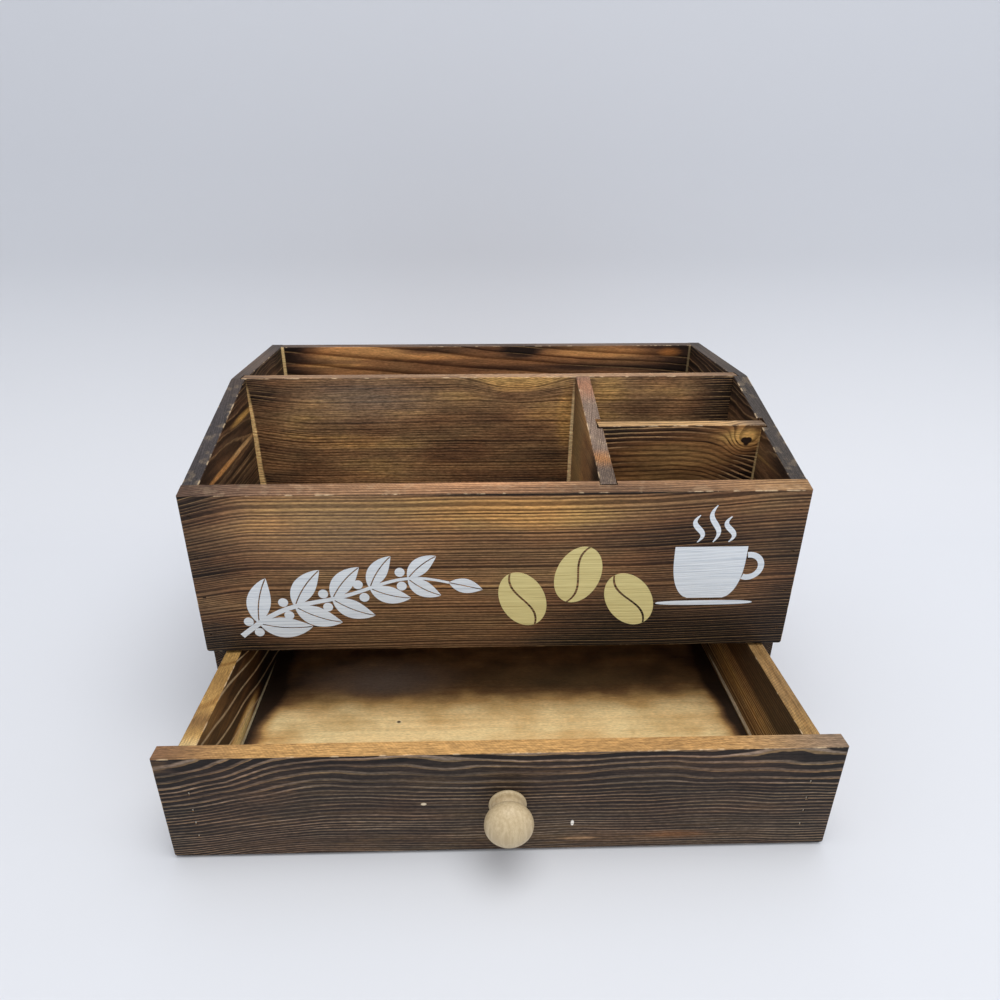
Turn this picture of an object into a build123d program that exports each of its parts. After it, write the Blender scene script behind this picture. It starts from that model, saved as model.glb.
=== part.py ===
# Coffee station organizer: a case of scorched softwood boards with four open
# compartments, and one drawer with a turned knob under them.
# Millimetres, +Z up, the drawer opens towards -Y. The origin is the centre of
# the case's underside. The drawer stands part way open.

import os
from math import ceil

from build123d import *

# The case
case_width = 350.0
case_depth = 229.0
case_height = 208.0
slope_drop = 35.0  # from the case's top down to the front panel's top
front_bottom = 71.0  # lower edge of the front panel, over the drawer
knee_depth = 118.0  # from the front face back to the bend of the side tops
knee_radius = 12.0
board = 9.5  # thickness of every solid board
base_ply = 5.0
eased_edge = 0.8
corner_radius = 1.6  # of the front boards' lower corners
cut_over = 5.0  # how far a cut runs past the face it starts from

# The tray floor and the housings that hold it and the dividers
floor_ply = 4.0
floor_rise = 3.0  # from the front panel's lower edge up to the tray floor
housing_depth = 3.5
housing_slip = 0.25  # beside a divider in its housing, each side
end_gap = 0.8  # between the end of a housed board and its housing's bottom
ply_slip = 0.15  # above a plywood panel in its groove

# The dividers
divider_offset = 57.5  # from the middle to the lengthwise divider's left face
cross_depth = 59.0  # from the front face back to the cross divider
cross_proud = 1.4  # how far the cross divider's front corner stands over the slope

# The drawer
drawer_open = 87.5  # from the closed front face to the drawer front at rest
closed_gap = 0.4
side_clearance = 1.0
rear_clearance = 2.0
running_gap = 0.3  # between the drawer and the base it slides on
front_lift = 1.5  # from the surface up to the drawer front
head_gap = 1.5  # from the drawer front up to the front panel
drawer_ply = 4.0
groove_lift = 8.0  # from the drawer sides' lower edges up to the groove

# The knob and its screw
knob_offset = 2.5  # the knob sits this far right of the middle
knob_base_radius = 9.9
knob_rim = 2.2
knob_rim_bevel = 0.5
knob_groove = 0.5
knob_neck_radius = 6.2
knob_neck_out = 5.6  # from the drawer front out to the neck
knob_ball_radius = 12.6
knob_ball_half = 9.6  # half of the flattened ball's thickness
knob_ball_round = 7.0  # radius of the arc round the ball's widest part
knob_ball_out = 13.8  # from the drawer front out to the ball's middle
screw_radius = 2.0
screw_hole_radius = 2.3
turned_cut = 3.2  # longest facet along the knob's turned curves
screw_grip = 12.0  # length of screw inside the knob
screw_head_radius = 4.2
screw_head = 2.4
screw_head_bevel = 1.0
screw_slot = 1.1
screw_slot_depth = 1.2
thread_fit = 0.05

# The brads, flat wire nails set below the surface
brad_width = 1.2
brad_thickness = 1.0
brad_length = 24.0
brad_head_width = 2.0
brad_head = 0.6
brad_set = 0.6
brad_margin = 12.0  # from a board's edge to its first brad
front_brad_count = 4
back_brad_count = 5
base_side_brad_count = 4
base_back_brad_count = 5
drawer_back_brad_count = 3
# Heights of the brads in the drawer front, as shares of its height
drawer_brad_shares = (0.22, 0.36, 0.49, 0.66)

# Places that follow from the sizes
half_width = case_width / 2
front_top = case_height - slope_drop
inner_half = half_width - board
housing_half = inner_half + housing_depth
housed_half = housing_half - end_gap
front_y = -case_depth / 2
back_y = case_depth / 2
front_inner_y = front_y + board
back_inner_y = back_y - board
housed_reach = housing_depth - end_gap
knee_y = front_y + knee_depth
tray_bottom = front_bottom + floor_rise
tray_top = tray_bottom + floor_ply
divider_left = divider_offset
divider_right = divider_left + board
cross_y = front_y + cross_depth

drawer_face_y = front_y - drawer_open
drawer_inner_y = drawer_face_y + board
drawer_top = front_bottom - head_gap
drawer_bottom = base_ply + running_gap
drawer_half = inner_half - side_clearance
drawer_inner_half = drawer_half - board
closed_travel = drawer_open - closed_gap
drawer_back_y = back_inner_y - rear_clearance - closed_travel
drawer_back_inner_y = drawer_back_y - board
drawer_ply_bottom = drawer_bottom + groove_lift
drawer_ply_top = drawer_ply_bottom + drawer_ply
knob_z = (front_lift + drawer_top) / 2

os.makedirs("parts", exist_ok=True)


def write(made, name):
    """Label a finished piece and write its STEP file."""
    made.part.label = name
    export_step(made.part, "parts/" + name + ".step")


def slope_height(y):
    """Height of the sloping tops at the place y along the depth."""
    return front_top + slope_drop * (y - front_y) / knee_depth


def block(low, high):
    """A block between its lowest and its highest corner."""
    middle = [(a + b) / 2 for a, b in zip(low, high)]
    size = [b - a for a, b in zip(low, high)]
    with BuildPart() as made:
        with Locations(tuple(middle)):
            Box(*size)
    return made.part


def spread(low, high, count):
    """Evenly spaced places, the first and last one margin in from the ends."""
    first = low + brad_margin
    step = (high - brad_margin - first) / (count - 1)
    return [first + index * step for index in range(count)]


def brads(places):
    """One brad at each place, a plane on the board's surface facing outwards."""
    heads = [place.offset(-brad_set) for place in places]
    with BuildPart() as made:
        with BuildSketch(*heads):
            Rectangle(brad_head_width, brad_thickness)
        extrude(amount=-brad_head)
        with BuildSketch(*heads):
            Rectangle(brad_width, brad_thickness)
        extrude(amount=-brad_length)
    return made


def brad_holes(places):
    """The holes that brads at the same places leave, open to the surface."""
    outside = [place.offset(cut_over) for place in places]
    with BuildPart() as made:
        with BuildSketch(*outside):
            Rectangle(brad_head_width, brad_thickness)
        extrude(amount=-cut_over - brad_set - brad_head)
        with BuildSketch(*places):
            Rectangle(brad_width, brad_thickness)
        extrude(amount=-brad_set - brad_length)
    return made.part


def surface(x, y, z, facing, along):
    """A plane on a board's surface, for a brad whose head lies along a direction."""
    return Plane(origin=(x, y, z), x_dir=along, z_dir=facing)


# Where the brads are driven. The case's front panel is nailed into the front
# edges of the sides, the sides into the ends of the back panel, and the base
# up into the sides and the back. The drawer is nailed alike.
side_middle = inner_half + board / 2
back_middle_y = back_y - board / 2
drawer_side_middle = drawer_half - board / 2
drawer_back_middle_y = drawer_back_y - board / 2

front_brad_places = [
    surface(hand * side_middle, front_y, z, (0, -1, 0), (1, 0, 0))
    for hand in (-1, 1)
    for z in spread(front_bottom, front_top, front_brad_count)
]
back_brad_places = [
    surface(hand * half_width, back_middle_y, z, (hand, 0, 0), (0, 0, 1))
    for hand in (-1, 1)
    for z in spread(base_ply, case_height, back_brad_count)
]
base_side_places = [
    surface(hand * side_middle, y, 0, (0, 0, -1), (0, 1, 0))
    for hand in (-1, 1)
    for y in spread(front_inner_y, back_inner_y, base_side_brad_count)
]
base_back_places = [
    surface(x, back_middle_y, 0, (0, 0, -1), (1, 0, 0))
    for x in spread(brad_length - inner_half, inner_half - brad_length, base_back_brad_count)
]
drawer_height = drawer_top - front_lift
drawer_front_places = [
    surface(
        hand * drawer_side_middle,
        drawer_face_y,
        front_lift + share * drawer_height,
        (0, -1, 0),
        (0, 0, 1),
    )
    for hand in (-1, 1)
    for share in drawer_brad_shares
]
drawer_back_places = [
    surface(hand * drawer_half, drawer_back_middle_y, z, (hand, 0, 0), (0, 0, 1))
    for hand in (-1, 1)
    for z in spread(drawer_bottom, drawer_top, drawer_back_brad_count)
]

front_brad_holes = brad_holes(front_brad_places)
back_brad_holes = brad_holes(back_brad_places)
base_brad_holes = brad_holes(base_side_places + base_back_places)
drawer_front_holes = brad_holes(drawer_front_places)
drawer_back_holes = brad_holes(drawer_back_places)

# The space that the tray floor's groove takes in the sides, front and back
tray_groove = block(
    (-housing_half, front_inner_y - housing_depth, tray_bottom),
    (housing_half, back_inner_y + housing_depth, tray_top + ply_slip),
)
# The housing of the long partition, open at the top of both sides
partition_housing = block(
    (-housing_half, knee_y - housing_slip, tray_top),
    (housing_half, knee_y + board + housing_slip, case_height + cut_over),
)
# The housing of the lengthwise divider in the front panel
divider_housing = block(
    (divider_left - housing_slip, front_inner_y - housing_depth, tray_top),
    (divider_right + housing_slip, front_inner_y + cut_over, case_height),
)
# The housing of the cross divider, in the lengthwise divider and the right side
cross_housing = block(
    (divider_right - housing_depth, cross_y - housing_slip, tray_top),
    (housing_half, cross_y + board + housing_slip, case_height),
)
# The groove of the drawer's bottom, in its sides, front and back
drawer_groove = block(
    (
        -drawer_inner_half - housing_depth,
        drawer_inner_y - housing_depth,
        drawer_ply_bottom,
    ),
    (
        drawer_inner_half + housing_depth,
        drawer_back_inner_y + housing_depth,
        drawer_ply_top + ply_slip,
    ),
)


def side_board(hand, housings):
    """A side of the case: level to the knee, then sloping to the front panel."""
    with BuildPart() as side:
        lower_x = min(hand * half_width, hand * inner_half)
        with BuildSketch(Plane.YZ.offset(lower_x)) as outline:
            with BuildLine():
                Polyline(
                    (front_inner_y, base_ply),
                    (back_y, base_ply),
                    (back_y, case_height),
                    (knee_y, case_height),
                    (front_inner_y, slope_height(front_inner_y)),
                    close=True,
                )
            make_face()
            knee = outline.vertices().sort_by_distance((knee_y, case_height))[0]
            fillet(knee, radius=knee_radius)
        extrude(amount=board)
        # The arrises along the top, inside and outside, are eased
        lengthwise_edges = side.edges().filter_by(Axis.X, reverse=True)
        top_edges = lengthwise_edges.filter_by_position(Axis.Z, front_top, case_height)
        fillet(top_edges, radius=eased_edge)
        for housing in housings:
            add(housing, mode=Mode.SUBTRACT)
        add(front_brad_holes, mode=Mode.SUBTRACT)
        add(back_brad_holes, mode=Mode.SUBTRACT)
        add(base_brad_holes, mode=Mode.SUBTRACT)
    return side


left_side = side_board(-1, (tray_groove, partition_housing))
write(left_side, "left_side")
right_side = side_board(1, (tray_groove, partition_housing, cross_housing))
write(right_side, "right_side")

# The front panel covers the front edges of the sides. Its top is planed to
# the slope of the side tops.
with BuildPart() as front_panel:
    with BuildSketch(Plane.YZ):
        with BuildLine():
            Polyline(
                (front_y, front_bottom),
                (front_inner_y, front_bottom),
                (front_inner_y, slope_height(front_inner_y)),
                (front_y, front_top),
                close=True,
            )
        make_face()
    extrude(amount=half_width, both=True)
    panel_ends = front_panel.faces().filter_by(Axis.X)
    lower_corners = panel_ends.edges().filter_by(Axis.Y)
    fillet(lower_corners, radius=corner_radius)
    fillet(front_panel.faces().sort_by(Axis.Y)[0].edges(), radius=eased_edge)
    add(tray_groove, mode=Mode.SUBTRACT)
    add(divider_housing, mode=Mode.SUBTRACT)
    add(front_brad_holes, mode=Mode.SUBTRACT)
write(front_panel, "front_panel")

# The back panel stands between the sides
with BuildPart() as back_panel:
    with BuildSketch(Plane.XZ.offset(-back_y)):
        with Locations((0, (base_ply + case_height) / 2)):
            Rectangle(2 * inner_half, case_height - base_ply)
    extrude(amount=board)
    top_edges = back_panel.edges().filter_by(Axis.X).group_by(Axis.Z)[-1]
    fillet(top_edges, radius=eased_edge)
    add(tray_groove, mode=Mode.SUBTRACT)
    add(back_brad_holes, mode=Mode.SUBTRACT)
    add(base_brad_holes, mode=Mode.SUBTRACT)
write(back_panel, "back_panel")

# The long partition runs from side to side at the knee, its ends housed
with BuildPart() as long_partition:
    with BuildSketch(Plane.XZ.offset(-knee_y - board)):
        with Locations((0, (tray_top + case_height) / 2)):
            Rectangle(2 * housed_half, case_height - tray_top)
    extrude(amount=board)
    top_edges = long_partition.edges().filter_by(Axis.X).group_by(Axis.Z)[-1]
    fillet(top_edges, radius=eased_edge)
write(long_partition, "long_partition")

# The lengthwise divider follows the slope from the front panel to the partition
with BuildPart() as lengthwise_divider:
    with BuildSketch(Plane.YZ.offset(divider_left)):
        with BuildLine():
            Polyline(
                (front_inner_y - housed_reach, tray_top),
                (knee_y, tray_top),
                (knee_y, case_height),
                (front_inner_y - housed_reach, slope_height(front_inner_y - housed_reach)),
                close=True,
            )
        make_face()
    extrude(amount=board)
    sloping_edges = lengthwise_divider.edges().filter_by(Axis.X, reverse=True)
    fillet(sloping_edges.group_by(Axis.Z)[-1], radius=eased_edge)
    add(cross_housing, mode=Mode.SUBTRACT)
write(lengthwise_divider, "lengthwise_divider")

# The cross divider's level top stands a little over the slope at its front
cross_top = slope_height(cross_y) + cross_proud
with BuildPart() as cross_divider:
    cross_left = divider_right - housed_reach
    with BuildSketch(Plane.XZ.offset(-cross_y - board)):
        with Locations(((cross_left + housed_half) / 2, (tray_top + cross_top) / 2)):
            Rectangle(housed_half - cross_left, cross_top - tray_top)
    extrude(amount=board)
    top_edges = cross_divider.edges().filter_by(Axis.X).group_by(Axis.Z)[-1]
    fillet(top_edges, radius=eased_edge)
write(cross_divider, "cross_divider")

# The plywood tray floor, in the groove all round
with BuildPart() as tray_floor:
    with BuildSketch(Plane.XY.offset(tray_bottom)):
        with Locations((0, (front_inner_y + back_inner_y) / 2)):
            Rectangle(2 * housed_half, back_inner_y - front_inner_y + 2 * housed_reach)
    extrude(amount=floor_ply)
write(tray_floor, "tray_floor")

# The plywood base under the sides and the back, on which the drawer slides
with BuildPart() as base_panel:
    with BuildSketch(Plane.XY):
        with Locations((0, (front_inner_y + back_y) / 2)):
            Rectangle(case_width, back_y - front_inner_y)
    extrude(amount=base_ply)
    fillet(base_panel.edges().filter_by(Axis.Z), radius=eased_edge)
    add(base_brad_holes, mode=Mode.SUBTRACT)
write(base_panel, "base_panel")

write(brads(front_brad_places), "front_panel_brads")
write(brads(back_brad_places), "back_panel_brads")
write(brads(base_side_places + base_back_places), "base_panel_brads")

# The drawer front, as wide as the case, with a stopped groove in its back
knob_plane = surface(knob_offset, drawer_face_y, knob_z, (0, -1, 0), (1, 0, 0))
with BuildPart() as drawer_front:
    with BuildSketch(Plane.XZ.offset(-drawer_inner_y)) as outline:
        with Locations((0, knob_z)):
            Rectangle(case_width, drawer_height)
        fillet(outline.vertices().group_by(Axis.Y)[0], radius=corner_radius)
    extrude(amount=board)
    fillet(drawer_front.faces().sort_by(Axis.Y)[0].edges(), radius=eased_edge)
    add(drawer_groove, mode=Mode.SUBTRACT)
    add(drawer_front_holes, mode=Mode.SUBTRACT)
    with BuildSketch(knob_plane):
        Circle(screw_hole_radius)
    extrude(amount=-board, mode=Mode.SUBTRACT)
write(drawer_front, "drawer_front")


def drawer_side(hand):
    """A side of the drawer, butted behind the drawer front."""
    with BuildPart() as side:
        lower_x = min(hand * drawer_half, hand * drawer_inner_half)
        with BuildSketch(Plane.YZ.offset(lower_x)):
            middle_y = (drawer_inner_y + drawer_back_y) / 2
            with Locations((middle_y, (drawer_bottom + drawer_top) / 2)):
                Rectangle(drawer_back_y - drawer_inner_y, drawer_top - drawer_bottom)
        extrude(amount=board)
        top_edges = side.edges().filter_by(Axis.Y).group_by(Axis.Z)[-1]
        fillet(top_edges, radius=eased_edge)
        add(drawer_groove, mode=Mode.SUBTRACT)
        add(drawer_front_holes, mode=Mode.SUBTRACT)
        add(drawer_back_holes, mode=Mode.SUBTRACT)
    return side


write(drawer_side(-1), "drawer_left_side")
write(drawer_side(1), "drawer_right_side")

with BuildPart() as drawer_back:
    with BuildSketch(Plane.XZ.offset(-drawer_back_y)):
        with Locations((0, (drawer_bottom + drawer_top) / 2)):
            Rectangle(2 * drawer_inner_half, drawer_top - drawer_bottom)
    extrude(amount=board)
    top_edges = drawer_back.edges().filter_by(Axis.X).group_by(Axis.Z)[-1]
    fillet(top_edges, radius=eased_edge)
    add(drawer_groove, mode=Mode.SUBTRACT)
    add(drawer_back_holes, mode=Mode.SUBTRACT)
write(drawer_back, "drawer_back")

with BuildPart() as drawer_floor:
    floor_length = drawer_back_inner_y - drawer_inner_y + 2 * housed_reach
    with BuildSketch(Plane.XY.offset(drawer_ply_bottom)):
        with Locations((0, (drawer_inner_y + drawer_back_inner_y) / 2)):
            Rectangle(2 * (drawer_inner_half + housed_reach), floor_length)
    extrude(amount=drawer_ply)
write(drawer_floor, "drawer_floor")

write(brads(drawer_front_places), "drawer_front_brads")
write(brads(drawer_back_places), "drawer_back_brads")

# The turned knob: a beaded base, a cove into the neck and a flattened ball.
# Its section is drawn with the radius along x and the way out along y, and its
# arcs are divided into short straight cuts.
knob_origin = (knob_offset, drawer_face_y, knob_z)
knob_section_plane = Plane(origin=knob_origin, x_dir=(1, 0, 0), z_dir=(0, 0, -1))
cove_radius = knob_base_radius - knob_groove
shoulder_radius = cove_radius - knob_groove
bore_radius = screw_radius + thread_fit
# The crown's arc meets the arc round the widest part without a corner there
ball_top = knob_ball_out + knob_ball_half
round_centre = knob_ball_radius - knob_ball_round
crown_rise = knob_ball_half - knob_ball_round
crown_radius = (round_centre**2 + knob_ball_half**2 - knob_ball_round**2) / (2 * crown_rise)
crown_centre = ball_top - crown_radius
meet_share = crown_radius / (crown_radius - knob_ball_round)
meet_radius = meet_share * round_centre
meet_out = crown_centre + meet_share * (knob_ball_out - crown_centre)


def cuts(curve):
    """Points along a turned curve, without its end, a cut's length or less apart."""
    count = ceil(curve.length / turned_cut)
    return [curve @ (index / count) for index in range(count)]


with BuildPart() as drawer_knob:
    with BuildSketch(knob_section_plane):
        with BuildLine():
            meet = (meet_radius, meet_out)
            crown = TangentArc((0, ball_top), meet, tangent=(1, 0), mode=Mode.PRIVATE)
            girth = (knob_ball_radius, knob_ball_out)
            widest = TangentArc(meet, girth, tangent=crown % 1, mode=Mode.PRIVATE)
            neck = (knob_neck_radius, knob_neck_out)
            under = TangentArc(girth, neck, tangent=(0, -1), mode=Mode.PRIVATE)
            shoulder = (cove_radius, knob_rim + knob_groove)
            cove = TangentArc(shoulder, neck, tangent=(-1, 0), mode=Mode.PRIVATE)
            Polyline(*cuts(crown), *cuts(widest), *cuts(under), neck, *reversed(cuts(cove)))
            Polyline(
                shoulder,
                (shoulder_radius, knob_rim),
                (knob_base_radius - knob_rim_bevel, knob_rim),
                (knob_base_radius, knob_rim - knob_rim_bevel),
                (knob_base_radius, knob_rim_bevel),
                (knob_base_radius - knob_rim_bevel, 0),
                (bore_radius, 0),
                (bore_radius, screw_grip),
                (0, screw_grip),
                (0, ball_top),
            )
        make_face()
    revolve(axis=Axis(knob_origin, (0, -1, 0)))
write(drawer_knob, "drawer_knob")

# The screw that holds the knob, driven from inside the drawer
screw_plane = knob_plane.offset(-board)
with BuildPart() as knob_screw:
    with BuildSketch(screw_plane):
        Circle(screw_head_radius)
    extrude(amount=-screw_head)
    head_rim = knob_screw.edges().filter_by(GeomType.CIRCLE).sort_by(Axis.Y)[-1]
    chamfer(head_rim, length=screw_head_bevel)
    with BuildSketch(screw_plane):
        Circle(screw_radius)
    extrude(amount=board + screw_grip - end_gap)
    with BuildSketch(screw_plane.offset(-screw_head)):
        Rectangle(screw_head_radius, screw_slot)
        Rectangle(screw_slot, screw_head_radius)
    extrude(amount=screw_slot_depth, mode=Mode.SUBTRACT)
write(knob_screw, "knob_screw")
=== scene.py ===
# Coffee station organizer: a scorched pine case with one drawer, dressed for a studio picture.
import math

import bpy
import numpy as np
from mathutils import Euler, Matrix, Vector


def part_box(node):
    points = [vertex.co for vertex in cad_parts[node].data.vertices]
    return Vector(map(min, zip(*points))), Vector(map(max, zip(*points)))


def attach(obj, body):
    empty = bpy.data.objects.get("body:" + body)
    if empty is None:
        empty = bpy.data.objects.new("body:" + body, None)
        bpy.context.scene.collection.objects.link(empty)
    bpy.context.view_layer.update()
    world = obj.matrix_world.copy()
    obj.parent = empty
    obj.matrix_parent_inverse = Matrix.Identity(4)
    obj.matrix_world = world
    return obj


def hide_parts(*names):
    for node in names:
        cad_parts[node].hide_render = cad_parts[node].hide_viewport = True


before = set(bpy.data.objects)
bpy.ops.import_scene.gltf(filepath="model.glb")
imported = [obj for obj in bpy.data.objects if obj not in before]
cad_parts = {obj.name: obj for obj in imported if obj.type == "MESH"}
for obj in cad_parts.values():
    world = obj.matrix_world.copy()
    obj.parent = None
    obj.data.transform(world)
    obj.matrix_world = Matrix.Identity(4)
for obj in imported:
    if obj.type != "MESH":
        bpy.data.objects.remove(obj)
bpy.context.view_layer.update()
print("frame loaded:", len(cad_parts), "nodes")

mm = 0.001
perMetre = 1000.0  # millimetres in a metre
anyWidth = 1000.0  # mm, wider than any board
multiply = {"blend_type": "MULTIPLY"}
smooth = {"interpolation_type": "SMOOTHSTEP"}


def linearColour(hexColour):
    # sRGB hex to linear, as Blender's colour sockets want it
    parts = np.array([int(hexColour[place:place + 2], 16) for place in (0, 2, 4)]) / 255
    linear = np.where(parts > 0.04045, ((parts + 0.055) / 1.055) ** 2.4, parts / 12.92)
    return (*linear.tolist(), 1.0)


def addNode(tree, kind, settings=None, feeds=None):
    # A new shader node. Settings are its properties, or only its operation, and feeds go to its
    # sockets as values, links or hex colours
    node = tree.nodes.new("ShaderNode" + kind)
    if isinstance(settings, str):
        settings = {"operation": settings}
    for name, value in (settings or {}).items():
        setattr(node, name, value)
    for socket, feed in (feeds or {}).items():
        if isinstance(feed, str):
            feed = linearColour(feed)
        if isinstance(feed, bpy.types.Node):
            feed = feed.outputs[0]
        if isinstance(feed, bpy.types.NodeSocket):
            tree.links.new(feed, node.inputs[socket])
        else:
            node.inputs[socket].default_value = feed
    return node


def newMaterial(name):
    # A material with an empty node tree
    material = bpy.data.materials.new(name)
    material.use_nodes = True
    material.node_tree.nodes.clear()
    return material, material.node_tree


def layColours(tree, colour, layers):
    # Each layer is its share, its tone and, where it darkens what lies under it, multiply
    for share, tone, *blend in layers:
        colour = addNode(tree, "MixRGB", *blend, feeds={"Fac": share, "Color1": colour, "Color2": tone})
    return colour


def finishMaterial(tree, colour, grain, height, piece):
    # The shader at the end of a material. The grain takes the roughness from the piece's lowest to
    # its highest, and height comes in millimetres
    low, high = piece["rough"]
    roughness = addNode(tree, "MapRange", feeds={"Value": grain, "To Min": low, "To Max": high})
    bump = addNode(tree, "Bump", feeds={"Height": height, "Distance": mm, "Strength": 1.0})
    shader = addNode(tree, "BsdfPrincipled", feeds={
        "Base Color": colour, "Roughness": roughness, "Normal": bump, **piece["gloss"],
    })
    addNode(tree, "OutputMaterial", feeds={"Surface": shader})


# Which way a board's grain runs: its coordinates are turned to x along the grain,
# y through the thickness and z across the width
alongX = (0.0, 0.0, 0.0)
alongY = (0.0, 0.0, -math.pi / 2)
alongZ = (0.0, math.pi / 2, 0.0)
layFlat = (math.pi / 2, 0.0, 0.0)


def grainPoint(tree, node, turn):
    # Millimetres from the board's middle, turned to the grain, and half the board's size that way
    low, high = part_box(node)
    rotation = Euler(turn)
    middle = rotation.to_matrix() @ ((low + high) / 2) * perMetre
    half = rotation.to_matrix() @ ((high - low) / 2) * perMetre
    coordinates = addNode(tree, "TexCoord")
    point = addNode(tree, "Mapping", {}, {
        "Vector": coordinates.outputs["Object"],
        "Scale": (perMetre, perMetre, perMetre),
        "Rotation": rotation,
        "Location": -middle,
    })
    return point, coordinates, [abs(size) for size in half]


seedShift = (7.3, 3.1, 5.7)  # how far one seed moves the noise along, through and across

# The noises by name: what is added to the piece's seed, the detail, and the stretch of the
# noise's values that shows. The piece's entry of that name starts with the patches' length and width
noises = {
    "fade": (5, 2.0, 0.36, 0.62),
    "patch": (9, 4.0, 0.3, 0.7),
    "streaks": (15, 3.0, 0.3, 0.7),
    "rubbed": (17, 3.0, 0.54, 0.64),
    "fibre": (21, 3.0, 0.35, 0.65),
    "sawn": (27, 2.0, 0.4, 0.65),
    "warmth": (31, 2.0, 0.38, 0.62),
    "flecksAndGlints": (35, 2.0, 0.35, 0.65),
    "lines": (1, 3.0, 0.35, 0.65),
    "rays": (3, 1.0, 0.62, 0.74),
    "handling": (5, 2.0, 0.0, 1.0),
    "scratches": (0, 2.0, 0.0, 1.0),
    "bristles": (0, 3.0, 0.48, 0.72),
}


def grainNoise(tree, point, length, width, seed, detail):
    # Noise drawn out along the grain, its patches that long and wide in millimetres
    stretched = addNode(tree, "VectorMath", "MULTIPLY_ADD", {
        0: point,
        1: (1 / length, 1 / width, 1 / width),
        2: [seed * shift for shift in seedShift],
    })
    return addNode(tree, "TexNoise", feeds={"Vector": stretched, "Scale": 1.0, "Detail": detail})


def grainField(tree, point, piece, name, spread=None, clamp=True):
    # A piece's noise of that name. With a spread, the stretch that shows runs from its low to its high
    offset, detail, first, last = noises[name]
    field = grainNoise(tree, point, *piece[name][:2], piece["seed"] + offset, detail)
    if spread:
        field = addNode(tree, "MapRange", {"clamp": clamp}, {
            "Value": field, "From Min": first, "From Max": last, "To Min": spread[0], "To Max": spread[1],
        })
    return field


def spot(tree, point, place, size, hard=0.0):
    # 1 at a place on the board's face, falling to 0 at the ellipse of that half size. The inner
    # share named hard stays 1
    offset = addNode(tree, "VectorMath", "MULTIPLY_ADD", {
        0: point,
        1: (1 / size[0], 0.0, 1 / size[1]),
        2: (-place[0] / size[0], 0.0, -place[1] / size[1]),
    })
    distance = addNode(tree, "VectorMath", "LENGTH", {0: offset}).outputs["Value"]
    return addNode(tree, "MapRange", smooth, {
        "Value": distance, "From Min": hard, "From Max": 1.0, "To Min": 1.0, "To Max": 0.0,
    })


def growthRings(tree, point, wood):
    # Distance from the pith in the plane across the grain, bent by slow and quick noise and pushed
    # out round each knot, counted in rings. The line is the latewood that ends each ring, the crest
    # is its sharp outer edge, and the band is a slow noise by the same distance
    pithThrough, pithAcross = wood["pith"]
    along = addNode(tree, "SeparateXYZ", feeds={0: point})
    crosswise = addNode(tree, "VectorMath", "MULTIPLY_ADD", {
        0: point,
        1: (0.0, 1.0, 1.0),
        2: (0.0, -pithThrough, -pithAcross),
    })
    lean = addNode(tree, "VectorMath", "SCALE", {0: (0.0, *wood["lean"]), "Scale": along.outputs["X"]})
    fromPith = addNode(tree, "VectorMath", "ADD", {0: crosswise, 1: lean})
    radius = addNode(tree, "VectorMath", "LENGTH", {0: fromPith}).outputs["Value"]
    bends = []
    for index, (length, width, height) in enumerate(wood["waves"]):
        wave = grainNoise(tree, point, length, width, wood["seed"] + index, wood["bendDetail"])
        bends.append((wave, height))
    for knot in wood["knots"]:
        push = spot(tree, point, knot["at"], knot["size"])
        bends.append((push, knot["push"]))
    for bend, height in bends:
        radius = addNode(tree, "Math", "MULTIPLY_ADD", {0: bend, 1: height, 2: radius})
    band = addNode(tree, "Math", "DIVIDE", {0: radius, 1: wood["band"][0]})
    band = addNode(tree, "TexNoise", {"noise_dimensions": "1D"}, {
        "W": band, "Scale": 1.0, "Detail": wood["bandDetail"],
    })
    count = addNode(tree, "Math", "DIVIDE", {0: radius, 1: wood["ringWidth"]})
    spells = addNode(tree, "TexNoise", {"noise_dimensions": "1D"}, {
        "W": count, "Scale": wood["spells"], "Detail": wood["bendDetail"],
    })
    count = addNode(tree, "Math", "MULTIPLY_ADD", {0: spells, 1: wood["uneven"], 2: count})
    share = addNode(tree, "Math", "FRACT", {0: count})
    start, peak, end, close = wood["line"]
    ramps = []
    for places in ((start, peak, end, close), (end, close, wood["crestEnd"], 1.0)):
        ramp = addNode(tree, "ValToRGB", feeds={"Fac": share})
        stops = ramp.color_ramp.elements
        stops[0].position, stops[1].position = places[:2]
        stops.new(places[2]).color = (1, 1, 1, 1)
        stops.new(places[3]).color = (0, 0, 0, 1)
        ramps.append(ramp)
    line, crest = ramps
    fade = grainField(tree, point, wood, "fade", (wood["faintest"], 1.0))
    year = addNode(tree, "Math", "FLOOR", {0: count})
    year = addNode(tree, "TexWhiteNoise", {"noise_dimensions": "1D"}, {"W": year})
    year = addNode(tree, "MapRange", feeds={"Value": year, "To Min": wood["weakest"], "To Max": 1.0})
    for factor in (fade, year):
        line = addNode(tree, "Math", "MULTIPLY", {0: line, 1: factor})
    crest = addNode(tree, "Math", "MULTIPLY", {0: crest, 1: fade})
    return line, band, crest


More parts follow.
